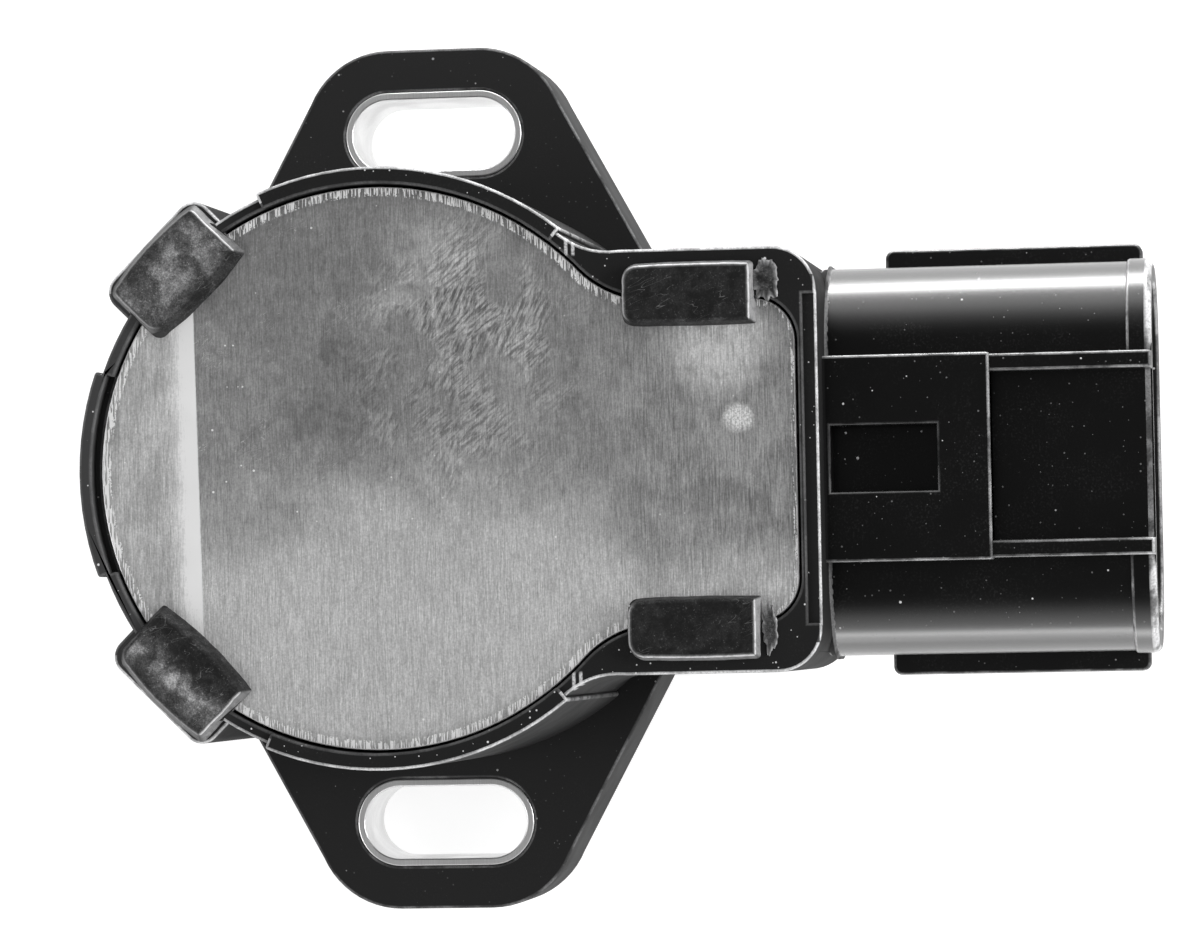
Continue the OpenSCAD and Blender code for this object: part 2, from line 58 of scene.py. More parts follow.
# Levels and places that the frame's own boxes give, in metres
PLATE_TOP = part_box("cover_plate")[1][2]
TAB_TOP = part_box("housing")[1][2]
FLOOR_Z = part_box("housing")[0][2]
MOUTH_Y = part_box("housing")[0][1]
BLADE_HALF = 0.32 * MM
SHROUD_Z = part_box("terminal_1")[0][2] + BLADE_HALF

# Sizes that the frame doesn't give, as they are in the part's source
RIM_RISE = 0.3 * MM
NECK_END = 25.35 * MM
SHROUD_HALF = (11.25 * MM, 6.3 * MM)
SHROUD_CORNER = 5.0 * MM

# Angles between faces: outward edges above the first are rounded, edges above the second stay sharp
ROUNDED = math.radians(40)
SHARP = math.radians(50)

# Where the moulding's finish changes: three bands of height, the rim's pocket and the hood's window
HIGH = (26.0 * MM, 27.0 * MM)
MIDDLE = (14.0 * MM, 20.0 * MM)
LOW = (8.0 * MM, 4.0 * MM)
POCKET_RADIUS = 16.6 * MM
POCKET_HALF = 10.4 * MM
POCKET_END = -25.2 * MM
WINDOW_HALF = 2.15 * MM
WINDOW_END = -32.2 * MM
# Where the painted highlights of the rim's steps lie: distance from the middle and side
STEP_HIGHLIGHTS = (12.5 * MM, -11.36 * MM)

# Marks and patches on the cover's sheet, among them the painted glint of a dent: the centre and the reach of each
# in mm, as (x, y)
WIPED = ((8.5, -5.5), (7.5, 8.0))
WIPED_BESIDE = ((3.5, -5.0), (8.0, 8.0))
PALE_CLOUD = ((10.5, -2.2), (4.5, 4.0))
DARKER_PATCH = ((4.5, 3.0), (8.0, 5.0))
NECK_PATCH = ((6.8, -19.8), (4.0, 3.4))
DENT_GLINT = ((2.4, -20.8), (1.0, 1.1))

# The four staked tabs. Each box is (x0, x1, y0, y1) in mm, before the turn in degrees about the rotor
# axis. Runs are how far the top stands in from those four sides, radii its corners, bulge the swell
# of its long sides, dome the rise of its top and grain its roughness, all in mm. Bright lists
# directions whose slopes and brows carry painted highlights, with their strength on slope and on brow,
# and pale is a band across the top: its middle, width, strength and least value.
TABS = {
    "staked_tab_far_upper": {"turn": 45, "box": (14.2, 18.4, -3.55, 3.55), "runs": (0.35, 0.25, 0.25, 0.2),
        "radii": (0.6, 1.0, 0.12, 0.45), "bulge": 0.24, "dome": 0.3, "grain": 0.07, "seed": 1,
        "bright": ((0, -1, 0.25, 0.9), (0, 1, 0.2, 0.5), (1, 0, 0.1, 0.3)), "pale": (0.0, 0.68, 1.15, 0.25)},
    "staked_tab_far_lower": {"turn": 135, "box": (14.2, 18.4, -3.55, 3.55), "runs": (0.35, 0.25, 0.2, 0.25),
        "radii": (0.4, 0.12, 0.25, 0.95), "bulge": 0.24, "dome": 0.3, "grain": 0.07, "seed": 2,
        "bright": ((0, 1, 0.25, 0.9), (1, 0, 0.15, 0.4)), "pale": (0.3, 0.48, 1.35, 0.03)},
    "staked_tab_near_upper": {"turn": 0, "box": (7.75, 11.3, -21.9, -14.3), "runs": (0.12, 0.2, 0.24, 0.12),
        "radii": (1.0, 0.8, 0.15, 0.3), "bulge": 0.05, "dome": 0.06, "grain": 0.035, "seed": 3,
        "bright": ((1, 0, 0.15, 1.0), (0, -1, 0.35, 1.0), (0, 1, 0.05, 0.6)), "pale": (0.0, 1.0, 0.0, 0.03)},
    "staked_tab_near_lower": {"turn": 0, "box": (-11.3, -7.75, -21.9, -14.3), "runs": (0.2, 0.12, 0.24, 0.12),
        "radii": (0.9, 1.1, 0.3, 0.15), "bulge": 0.05, "dome": 0.06, "grain": 0.035, "seed": 4,
        "bright": ((-1, 0, 0.25, 1.0), (0, -1, 0.35, 1.0), (0, 1, 0.05, 0.6)), "pale": (0.0, 1.0, 0.0, 0.03)},
}

# The lamps: place, aim and size in metres, and power in watts
LAMPS = {
    "key_lamp": ((0.06, -0.45, 0.2), (0, 0, 0.015), (0.16, 0.16), 1.2),
    "fill_lamp": ((-0.1, 0.4, 0.3), (0, 0, 0.015), (0.2, 0.2), 0.6),
    "upper_side_lamp": ((0.09, -0.035, 0.011), (0, -0.035, 0.015), (0.11, 0.026), 0.1),
    "lower_side_lamp": ((-0.09, -0.035, 0.006), (0, -0.035, 0.015), (0.11, 0.016), 0.02),
}

# The photograph's viewpoint, from a fit to its outlines: lean, tilt and roll in degrees, the shift of
# the aim in metres, and the focal length in picture widths for the distance that it was fitted at
VIEW_ANGLES = (8.03, 1.79, -1.09)
VIEW_SHIFT = (-12.72 * MM, -0.24 * MM)
FOCAL_WIDTHS = 5252 / 1200
FITTED_DISTANCE = 0.3
SENSOR_WIDTH = 36.0


# ---- Node building -------------------------------------------------------------------------

def add(tree, kind, values=None, **settings):
    """A node with its settings, its inputs' values and its inputs' links."""
    made = tree.nodes.new(kind)
    for name, value in settings.items():
        setattr(made, name, value)
    give(made, values or {})
    return made


def connect(value, socket):
    """A link where the value is a socket, else the socket's own value."""
    if isinstance(value, bpy.types.NodeSocket):
        socket.node.id_data.links.new(value, socket)
    else:
        socket.default_value = value


def tree_of(*values):
    """The node tree that the sockets among some values belong to."""
    return next(value.node.id_data for value in values if isinstance(value, bpy.types.NodeSocket))


def maths(operation, first, second=0.0):
    """One step of arithmetic."""
    return add(tree_of(first, second), "ShaderNodeMath", {0: first, 1: second}, operation=operation).outputs[0]


def invert(value):
    """What is left of 1."""
    return maths("SUBTRACT", 1.0, value)


def apart(value, level):
    """The distance between two values."""
    return maths("ABSOLUTE", maths("SUBTRACT", value, level))


def times(*values):
    """The product of values."""
    result = values[0]
    for value in values[1:]:
        result = maths("MULTIPLY", result, value)
    return result


def plus(*values):
    """The sum of values."""
    result = values[0]
    for value in values[1:]:
        result = maths("ADD", result, value)
    return result


def ramp(value, low, high, to_low=0.0, to_high=1.0, smooth=True):
    """A value mapped from one range to another, with soft or straight ends."""
    made = add(tree_of(value), "ShaderNodeMapRange", {"Value": value, "From Min": low, "From Max": high,
        "To Min": to_low, "To Max": to_high}, interpolation_type="SMOOTHSTEP" if smooth else "LINEAR")
    return made.outputs["Result"]


def blend_colours(share, first, second):
    """The first colour, with a share of the second."""
    made = add(tree_of(share, first, second), "ShaderNodeMix", data_type="RGBA", clamp_factor=True)
    for index, value in ((0, share), (6, first), (7, second)):
        connect((*value, 1.0) if isinstance(value, tuple) and len(value) == 3 else value, made.inputs[index])
    return made.outputs[2]


def blend_values(share, first, second):
    """The first value, with a share of the second."""
    made = add(tree_of(share, first, second), "ShaderNodeMix", data_type="FLOAT", clamp_factor=True)
    for index, value in ((0, share), (2, first), (3, second)):
        connect(value, made.inputs[index])
    return made.outputs[0]


def spot(across, along, centre, reach):
    """A soft round patch at a place in metres: 1 at its centre and 0 at its reach."""
    first = maths("DIVIDE", maths("SUBTRACT", across, centre[0] * MM), reach[0] * MM)
    second = maths("DIVIDE", maths("SUBTRACT", along, centre[1] * MM), reach[1] * MM)
    away = plus(times(first, first), times(second, second))
    return ramp(away, 1.0, 0.0)


def new_group(name, inputs, output):
    """An empty shader node group that takes a Vector and some values, and gives one value."""
    tree = bpy.data.node_groups.new(name, "ShaderNodeTree")
    tree.interface.new_socket("Vector", in_out="INPUT", socket_type="NodeSocketVector")
    for label, default in inputs.items():
        socket = tree.interface.new_socket(label, in_out="INPUT", socket_type="NodeSocketFloat")
        socket.default_value = default
    tree.interface.new_socket(output, in_out="OUTPUT", socket_type="NodeSocketFloat")
    return tree, tree.nodes.new("NodeGroupInput").outputs, tree.nodes.new("NodeGroupOutput").inputs


def place_group(name, values):
    """One of the shared effects, placed in a material with its own values."""
    made = tree_of(*values.values()).nodes.new("ShaderNodeGroup")
    made.node_tree = bpy.data.node_groups[name]
    give(made, values)
    return made.outputs


def make_fine_grain():
    """Small pits and bumps of moulded or blasted surfaces."""
    tree, given, out = new_group("Fine grain", {"Size mm": 0.2, "Roughness": 0.6}, "Height")
    scale = maths("DIVIDE", 1000.0, given["Size mm"])
    cloud = add(tree, "ShaderNodeTexNoise", {"Vector": given["Vector"], "Scale": scale, "Detail": 3.0,
        "Roughness": given["Roughness"]})
    tree.links.new(cloud.outputs["Fac"], out["Height"])


def make_dust():
    """Scattered specks of dust: each cell holds one speck or none."""
    tree, given, out = new_group("Dust specks", {"Spacing mm": 0.8, "Share": 0.3, "Speck": 0.12}, "Mask")
    scale = maths("DIVIDE", 1000.0, given["Spacing mm"])
    squashed = add(tree, "ShaderNodeVectorMath", {0: given["Vector"], 1: (1.0, 1.0, 0.12)}, operation="MULTIPLY")
    cells = add(tree, "ShaderNodeTexVoronoi", {"Vector": squashed.outputs[0], "Scale": scale}, feature="F1")
    parts = add(tree, "ShaderNodeSeparateColor", {"Color": cells.outputs["Color"]})
    size = maths("MULTIPLY", given["Speck"], ramp(parts.outputs["Green"], 0.0, 1.0, 0.35, 1.0, False))
    near = maths("SUBTRACT", size, cells.outputs["Distance"])
    inside = ramp(near, 0.0, 0.03)
    chosen = maths("LESS_THAN", parts.outputs["Red"], given["Share"])
    tree.links.new(maths("MULTIPLY", inside, chosen), out["Mask"])


def make_streaks():
    """Fine streaks along one direction in the XY plane, as rolling or wiping leaves them."""
    tree, given, out = new_group("Streaks", {"Length mm": 6.0, "Width mm": 0.08, "Turn": 0.0, "Detail": 3.0},
        "Value")
    along = maths("DIVIDE", 1000.0, given["Length mm"])
    across = maths("DIVIDE", 1000.0, given["Width mm"])
    turned = add(tree, "ShaderNodeVectorRotate", {"Vector": given["Vector"], "Angle": given["Turn"]},
        rotation_type="Z_AXIS")
    stretch = add(tree, "ShaderNodeCombineXYZ", {"X": along, "Y": across, "Z": across})
    moved = add(tree, "ShaderNodeVectorMath", {0: turned.outputs[0], 1: stretch.outputs[0]}, operation="MULTIPLY")
    cloud = add(tree, "ShaderNodeTexNoise", {"Vector": moved.outputs[0], "Scale": 1.0, "Detail": given["Detail"],
        "Roughness": 0.65})
    tree.links.new(cloud.outputs["Fac"], out["Value"])


def make_smudges():
    """Soft uneven patches: handling marks, flow lines and stains."""
    tree, given, out = new_group("Smudges", {"Size mm": 4.0, "Warp": 0.4}, "Value")
    scale = maths("DIVIDE", 1000.0, given["Size mm"])
    cloud = add(tree, "ShaderNodeTexNoise", {"Vector": given["Vector"], "Scale": scale, "Detail": 5.0,
        "Roughness": 0.55, "Distortion": given["Warp"]})
    tree.links.new(ramp(cloud.outputs["Fac"], 0.3, 0.7), out["Value"])


def make_scratches():
    """Sparse thin lines that wander a little, each the contour of a stretched noise."""
    tree, given, out = new_group("Scratches", {"Length mm": 5.0, "Width": 0.006, "Turn": 0.0, "Share": 0.5},
        "Mask")
    across = maths("MULTIPLY", given["Length mm"], 0.22)
    long = streaks(given["Vector"], given["Length mm"], across, given["Turn"], 1.0)
    line = ramp(maths("SUBTRACT", given["Width"], apart(long, 0.5)), 0.0, 0.003)
    patches = smudges(given["Vector"], 3.0)
    kept = ramp(maths("SUBTRACT", patches, invert(given["Share"])), 0.0, 0.12)
    tree.links.new(maths("MULTIPLY", line, kept), out["Mask"])


def fine_grain(place, size, roughness=0.6):
    """The fine grain's height. Its size is in mm, as in the functions below."""
    return place_group("Fine grain", {"Vector": place, "Size mm": size, "Roughness": roughness})["Height"]


def dust(place, spacing, share, speck):
    return place_group("Dust specks", {"Vector": place, "Spacing mm": spacing, "Share": share,
        "Speck": speck})["Mask"]


def streaks(place, length, width, turn=0.0, detail=3.0):
    return place_group("Streaks", {"Vector": place, "Length mm": length, "Width mm": width,
        "Turn": turn, "Detail": detail})["Value"]


def smudges(place, size, warp=0.4):
    return place_group("Smudges", {"Vector": place, "Size mm": size, "Warp": warp})["Value"]


def scratches(place, length, share, turn):
    return place_group("Scratches", {"Vector": place, "Length mm": length, "Share": share,
        "Turn": turn})["Mask"]


def make_shared_effects():
    """The node groups of the shared effects. Those that use another come after it."""
    for make in (make_fine_grain, make_dust, make_streaks, make_smudges, make_scratches):
        make()


def new_material(name, colour):
    """A material with its shader, and the place on the object as its texture coordinate."""
    made = bpy.data.materials.new(name)
    made.use_nodes = True
    made.diffuse_color = (*colour, 1.0)
    tree = made.node_tree
    shader = tree.nodes["Principled BSDF"]
    place = add(tree, "ShaderNodeTexCoord").outputs["Object"]
    return made, tree, shader, place


def give(node, values):
    """Values or links for a node's inputs."""
    for name, value in values.items():
        connect(value, node.inputs[name])


def bump(tree, shader, height, strength, distance):
    made = add(tree, "ShaderNodeBump", {"Strength": strength, "Distance": distance, "Height": height})
    give(shader, {"Normal": made.outputs["Normal"]})


def mark(tree, name):
    """A value that the mesh carries."""
    return add(tree, "ShaderNodeAttribute", attribute_name=name).outputs["Fac"]


def grey(value):
    """A neutral colour, a touch cool."""
    return (value, value, value * 1.01)


# ---- Finishes ------------------------------------------------------------------------------

def black_moulding(settings):
    """Black plastic: matt on the body and ears, glossy on the connector, with edges made pale partly by wear and
    partly as painted highlights, and with dust on its upper sides."""
    made, tree, shader, place = new_material("black moulding", settings.black)
    black = settings.black[0]
    parts = add(tree, "ShaderNodeSeparateXYZ", {"Vector": place})
    up, side, height = (parts.outputs[axis] for axis in "XYZ")
    normal = add(tree, "ShaderNodeTexCoord").outputs["Normal"]
    facing = add(tree, "ShaderNodeSeparateXYZ", {"Vector": normal}).outputs
    width = maths("ABSOLUTE", up)
    grain = fine_grain(place, 0.13)
    patches = smudges(place, 3.2)
    connector = ramp(side, -NECK_END - 0.07 * MM, -NECK_END - 0.2 * MM)
    high = ramp(height, *HIGH)
    matt = blend_colours(ramp(height, *LOW), grey(black * 3.2), grey(black * 7.5))
    far_rim = times(high, ramp(side, 7.0 * MM, 13.0 * MM))
    matt = blend_colours(far_rim, matt, grey(0.05))
    lower_half = ramp(height, 16.0 * MM, 14.0 * MM)
    glossy = blend_colours(lower_half, grey(black * 0.6), grey(black * 3.5))
    base = blend_colours(connector, matt, glossy)
    speckle = times(ramp(grain, 0.5, 0.72), ramp(patches, 0.2, 1.0, 0.05, 0.5))
    base = blend_colours(speckle, base, grey(0.03))
    # Pale edges, partly wear and partly painted highlights: bright round the rim's outside, a painted highlight
    # round the mouth, none round the rim's pocket, dim round the hood's window
    flat_place = add(tree, "ShaderNodeCombineXYZ", {"X": up, "Y": side}).outputs[0]
    away = add(tree, "ShaderNodeVectorMath", {0: flat_place}, operation="LENGTH").outputs["Value"]
    neck_top = times(maths("LESS_THAN", width, POCKET_HALF),
        maths("GREATER_THAN", side, POCKET_END))
    in_pocket = maths("MAXIMUM", maths("LESS_THAN", away, POCKET_RADIUS), neck_top)
    window = times(maths("LESS_THAN", width, WINDOW_HALF),
        maths("GREATER_THAN", side, WINDOW_END))
    mouth = ramp(side, MOUTH_Y + 0.6 * MM, MOUTH_Y + 0.3 * MM, 0.0, 0.35)
    middle = ramp(height, *MIDDLE)
    strength = plus(0.2, times(middle, 0.3), times(high, 0.5), mouth)
    strength = times(strength, invert(times(high, in_pocket, 0.88)),
        invert(times(window, connector, 0.85)))
    whole = times(high, 0.4)
    broken = ramp(smudges(place, 1.6, 0.2), 0.1, 0.8, 0.25, 1.0)
    uneven = plus(whole, times(broken, invert(whole)))
    worn_and_highlit_edges = times(mark(tree, "edge"), uneven, ramp(grain, 0.3, 0.6, 0.6, 1.0), strength)
    base = blend_colours(worn_and_highlit_edges, base, grey(0.9))
    # Painted highlights: two pale lines on each side where the rim's step runs into the neck
    near = apart(apart(side, STEP_HIGHLIGHTS[1]), 0.2 * MM)
    step_highlight = times(ramp(near, 0.13 * MM, 0.05 * MM), high,
        ramp(apart(width, STEP_HIGHLIGHTS[0]), 0.75 * MM, 0.55 * MM))
    base = blend_colours(times(step_highlight, ramp(grain, 0.3, 0.6, 0.35, 0.9)), base, grey(0.7))
    # Dust on the sides that face up
    lying = ramp(facing["Z"], 0.4, 0.9)
    fine_share = plus(0.06, times(high, 0.75), times(connector, 0.12))
    fine = times(lying, dust(place, 0.36, 0.5, 0.17), fine_share)
    coarse = maths("MAXIMUM", dust(place, 0.75, 0.2, 0.13), dust(place, 1.7, 0.3, 0.07))
    coarse_share = ramp(plus(connector, high), 0.0, 1.0, 0.4, 1.0, False)
    specks = maths("MAXIMUM", fine, times(lying, coarse, coarse_share))
    base = blend_colours(specks, base, grey(0.75))
    rough = ramp(connector, 0.0, 1.0, settings.matt_roughness, settings.gloss_roughness, False)
    rough = plus(rough, ramp(patches, 0.0, 1.0, -0.03, 0.07, False), times(specks, 0.3))
    # The connector's rounded sides were polished in the mould, its flat ones hardly
    round_side = maths("MAXIMUM", ramp(facing["X"], 0.1, 0.5, 0.1, 1.0),
        ramp(facing["X"], -0.35, -0.85, 0.1, 0.9))
    not_end = ramp(maths("ABSOLUTE", facing["Y"]), 0.3, 0.6, 1.0, 0.15)
    polished = times(connector, round_side, not_end, invert(specks))
    give(shader, {"Base Color": base, "Roughness": rough, "Specular IOR Level": 0.08,
        "Coat Weight": polished, "Coat Roughness": 0.25, "Coat IOR": 2.0})
    bump(tree, shader, plus(grain, times(specks, 0.6)), 0.25, 0.02 * MM)
    return made


def melted_plastic(settings):
    """The staked tabs' skin: granular where it melted. The mesh says where it turned pale and where it carries
    painted highlights.
    """
    made, tree, shader, place = new_material("melted plastic", settings.black)
    black = settings.black[0]
    coarse = fine_grain(place, 0.4, 0.8)
    fine = fine_grain(place, 0.11, 0.8)
    patches = smudges(place, 1.4, 0.8)
    scuffs = scratches(place, 2.2, 0.35, 1.2)
    pale, edge = mark(tree, "whitened"), mark(tree, "edge")
    torn = times(ramp(fine, 0.3, 0.72, 0.3, 1.0), ramp(coarse, 0.3, 0.7, 0.5, 1.0))
    smoky = times(plus(0.03, pale), torn, ramp(patches, 0.15, 0.85, 0.35, 1.0))
    base = blend_colours(smoky, grey(black * 1.3), grey(0.5))
    specks = times(ramp(fine, 0.6, 0.7), ramp(coarse, 0.42, 0.6), plus(0.3, pale))
    base = blend_colours(times(specks, 0.7), base, grey(0.5))
    base = blend_colours(times(scuffs, 0.35), base, grey(0.3))
    # Painted highlights where the mesh value edge marks them
    base = blend_colours(times(edge, ramp(coarse, 0.3, 0.6, 0.6, 1.0)), base, grey(0.85))
    give(shader, {"Base Color": base, "Roughness": ramp(coarse, 0.3, 0.7, 0.4, 0.62), "Specular IOR Level": 0.16})
    bump(tree, shader, plus(coarse, fine), 0.45, 0.04 * MM)
    return made


def rolled_aluminium(settings):
    """The cover's sheet: straight hairlines, a painted reflection that makes the upper part darker and mottled
    and the lower part lighter, a painted reflection as a bright bar across the far end, the ragged bright teeth
    that shearing left along the round edge, and a painted highlight on that edge."""
    made, tree, shader, place = new_material("rolled aluminium", settings.metal)
    parts = add(tree, "ShaderNodeSeparateXYZ", {"Vector": place})
    up, side = parts.outputs["X"], parts.outputs["Y"]

    wide, cloudy, small = (smudges(place, size, warp) for size, warp in ((6.5, 0.3), (2.4, 0.5), (0.8, 0.6)))
    grain = fine_grain(place, 0.12, 0.7)
    # Painted reflection: a darker mottled upper part and a lighter lower part, with a wandering border
    wander = ramp(wide, 0.0, 1.0, -2.4 * MM, 2.4 * MM, False)
    upper = ramp(plus(up, wander), -6.5 * MM, 2.5 * MM)
    level = ramp(upper, 0.0, 1.0, 0.62, 0.26, False)
    level = plus(level, times(upper, ramp(wide, 0.2, 0.9), 0.07))
    # Clumps of short slanting marks, wiped across the upper middle in two directions
    steep = ramp(streaks(place, 1.0, 0.19, 0.45, 2.0), 0.36, 0.64, -0.6, 1.0)
    flat = ramp(streaks(place, 0.8, 0.16, 0.85, 2.0), 0.36, 0.64, -0.6, 1.0)
    wiped = blend_values(ramp(cloudy, 0.35, 0.65), steep, flat)
    zone = maths("MAXIMUM", spot(up, side, *WIPED),
        times(spot(up, side, *WIPED_BESIDE), 0.7))
    marks = times(wiped, ramp(smudges(place, 3.4), 0.15, 0.75), zone)
    level = plus(level, times(marks, 0.2), times(zone, 0.04))
    # A lighter cloud and a darker patch
    pale_cloud = times(spot(up, side, *PALE_CLOUD), ramp(cloudy, 0.1, 0.8))
    level = plus(level, times(pale_cloud, 0.13))
    darker_patch = times(spot(up, side, *DARKER_PATCH), ramp(cloudy, 0.35, 0.75))
    level = plus(level, times(darker_patch, -0.06))
    level = plus(level, times(ramp(small, 0.2, 0.9, -0.5, 0.5, False), upper, 0.05))
    # The neck: darker and coarsely streaked, with one light patch and the painted glint of a small dent
    neck = ramp(side, -11.0 * MM, -16.0 * MM)
    level = blend_values(times(neck, ramp(up, -8.0 * MM, -3.0 * MM)), level, 0.33)
    coarse = ramp(streaks(place, 1.6, 0.1), 0.3, 0.7, -0.5, 0.5, False)
    level = plus(level, times(coarse, neck, 0.22))
    cloud = ramp(cloudy, 0.1, 0.9, -0.5, 0.5, False)
    level = plus(level, times(cloud, neck, 0.1))
    patch = times(spot(up, side, *NECK_PATCH), ramp(small, 0.0, 0.6, 0.6, 1.0))
    level = plus(level, times(patch, 0.36))
    dent_glint = times(spot(up, side, *DENT_GLINT), ramp(grain, 0.35, 0.6, 0.5, 1.0))
    level = plus(level, times(dent_glint, 0.65))
    # Painted reflection: the far end lighter and streaked, beyond the bright bar
    tilted = maths("SUBTRACT", side, times(up, 0.0175))
    far = ramp(tilted, 10.38 * MM, 10.5 * MM)
    far_reflection_streaks = plus(times(cloudy, 0.22), times(streaks(place, 4.0, 0.3, 0.05, 4.0), 0.78))
    level = blend_values(far, level, ramp(far_reflection_streaks, 0.25, 0.75, 0.42, 0.72, False))
    bar = times(far, ramp(tilted, 12.3 * MM, 10.7 * MM), ramp(up, -9.0 * MM, -6.0 * MM, 0.7, 1.0))
    # Hairlines, grain and small marks everywhere
    lines = ramp(streaks(place, 1.2, 0.065), 0.28, 0.72, 0.7, 1.3, False)
    hair = ramp(streaks(place, 0.45, 0.05, 0.0, 1.0), 0.3, 0.7, 0.84, 1.16, False)
    level = times(level, lines, hair, ramp(grain, 0.3, 0.7, 0.8, 1.2, False))
    # The bright bar: painted reflection
    level = plus(level, times(bar, 0.65))
    specks = maths("MAXIMUM", dust(place, 0.6, 0.13, 0.13), dust(place, 1.7, 0.25, 0.06))
    scratch = scratches(place, 1.2, 0.24, 0.9)
    few = ramp(side, 10.0 * MM, -6.0 * MM, 1.0, 0.4)
    level = plus(level, times(specks, few, 0.7), times(scratch, few, 0.3))
    teeth = times(ramp(streaks(place, 0.8, 0.07, 0.0, 0.5), 0.45, 0.55), ramp(grain, 0.36, 0.52, 0.6, 1.0))
    rim = times(mark(tree, "rim"), ramp(side, -22.8 * MM, -21.5 * MM, 0.6, 1.0))
    shear = ramp(times(rim, plus(0.22, teeth)), 0.5, 0.64)
    level = times(level, invert(times(rim, 0.3)))
    # The shear teeth, and a painted highlight on the rounded edge
    level = plus(level, times(shear, 0.9), times(mark(tree, "edge"), 0.8))
    level = maths("MINIMUM", level, 1.0)
    tint = add(tree, "ShaderNodeVectorMath", {0: tuple(settings.metal)}, operation="SCALE")
    tree.links.new(level, tint.inputs["Scale"])
    metallic = blend_values(maths("MAXIMUM", bar, shear), settings.metallic, 0.35)
    rough = plus(settings.roughness, ramp(cloudy, 0.0, 1.0, -0.04, 0.05, False), times(marks, 0.1))
    give(shader, {"Base Color": tint.outputs[0], "Metallic": metallic, "Roughness": rough})
    bump(tree, shader, plus(lines, times(hair, 0.5)), 0.2, 0.012 * MM)
    return made


def plain_metal(name, colour, roughness, streak_mm, size_mm):
    """Small metal pieces: drawn or stamped, with fine streaks and a little tarnish."""
    made, tree, shader, place = new_material(name, colour)
    drawn = streaks(place, streak_mm, 0.06)
    patches = smudges(place, size_mm)
    base = blend_colours(ramp(drawn, 0.25, 0.75, 0.0, 0.5), colour, tuple(v * 0.72 for v in colour))
    base = blend_colours(times(patches, 0.35), base, tuple(v * 0.6 for v in colour))
    give(shader, {"Base Color": base, "Metallic": 1.0,
        "Roughness": ramp(patches, 0.0, 1.0, roughness, roughness + 0.14, False)})
    bump(tree, shader, drawn, 0.2, 0.015 * MM)
    return made


def plain_surface(name, colour, roughness, grain_mm, contrast):
    """Plastics, rubber, laminate and inks: a fine grain with soft patches."""
    made, tree, shader, place = new_material(name, colour)
    grain = fine_grain(place, grain_mm)
    patches = smudges(place, grain_mm * 14)
    base = blend_colours(ramp(grain, 0.3, 0.7, 0.0, contrast), colour, tuple(v * 0.7 for v in colour))
    base = blend_colours(times(patches, contrast), base, tuple(min(v * 1.3, 1.0) for v in colour))
    give(shader, {"Base Color": base, "Roughness": ramp(patches, 0.0, 1.0, roughness, roughness + 0.1, False)})
    bump(tree, shader, grain, 0.3, grain_mm * 0.15 * MM)
    return made


# ---- Mesh building -------------------------------------------------------------------------

def place_in_scene(name, data):
    """An object in the scene that holds the given data."""
    made = bpy.data.objects.new(name, data)
    bpy.context.scene.collection.objects.link(made)
    return made


def smooth_piece(name, mesh, turn=0):
    """An object from a mesh, smooth all over, turned by some degrees about the rotor axis."""
    data = bpy.data.meshes.new(name)
    mesh.to_mesh(data)
    mesh.free()
    data.transform(Matrix.Rotation(math.radians(turn), 4, "Z"))
    data.shade_smooth()
    return place_in_scene(name, data)


def turned(point, degrees):
    """A point after a turn about the rotor axis."""
    return Matrix.Rotation(math.radians(degrees), 3, "Z") @ point


def outward_edges(mesh):
    return [e for e in mesh.edges if len(e.link_faces) == 2 and e.is_convex
        and e.calc_face_angle(0.0) > ROUNDED]


def tab_at(point):
    """The name of the staked tab whose box holds a point, or None."""
    slack = 0.02
    if point.z > PLATE_TOP - 0.01 * MM:
        for name, tab in TABS.items():
            at = turned(point, -tab["turn"]) / MM
            x0, x1, y0, y1 = tab["box"]
            if x0 - slack < at.x < x1 + slack and y0 - slack < at.y < y1 + slack:
                return name
    return None


def tuck_tabs(mesh):
    """Lowers and narrows the plain tabs of the moulding, so that the melted ones cover them."""
    inset = 0.5 * MM
    top = TAB_TOP - 0.6 * MM
    for vert in mesh.verts:
        name = tab_at(vert.co)
        if name and vert.co.z > top:
            turn = TABS[name]["turn"]
            x0, x1, y0, y1 = (value * MM for value in TABS[name]["box"])
            at = turned(vert.co, -turn)
            at.x = max(x0 + inset, min(x1 - inset, at.x))
            at.y = max(y0 + inset, min(y1 - inset, at.y))
            at.z = min(at.z, top)
            vert.co = turned(at, turn)


def at_mouth(edge):
    """Whether an edge is part of the outline of the connector's mouth."""
    if any(abs(v.co.y - MOUTH_Y) > 0.02 * MM for v in edge.verts):
        return False
    side = min(edge.link_faces, key=lambda f: abs(f.normal.y))
    middle = (edge.verts[0].co + edge.verts[1].co) / 2
    outward = side.normal.x * middle.x + side.normal.z * (middle.z - SHROUD_Z) > 0
    inside = abs(middle.x) < SHROUD_HALF[0] + 0.4 * MM and middle.z < SHROUD_Z + SHROUD_HALF[1] + 0.3 * MM
    return outward and inside and abs(side.normal.y) < 0.5


def corner_normals(mesh):
    """A normal for each corner, so that large faces look flat and small ones blend into them."""
    area = {face: face.calc_area() ** 2 for face in mesh.faces}
    smooth = {edge for edge in mesh.edges if len(edge.link_faces) == 2 and edge.calc_face_angle(0.0) < SHARP}
    result = []
    for face in mesh.faces:
        for corner in face.loops:
            fan, waiting = {face}, [face]
            while waiting:
                here = waiting.pop()
                for edge in corner.vert.link_edges:
                    if edge in smooth and here in edge.link_faces:
                        found = [f for f in edge.link_faces if f not in fan]
                        fan.update(found)
                        waiting.extend(found)
            total = sum((f.normal * area[f] for f in fan), Vector())
            result.append((total if total.length > 0 else face.normal).normalized())
    return result


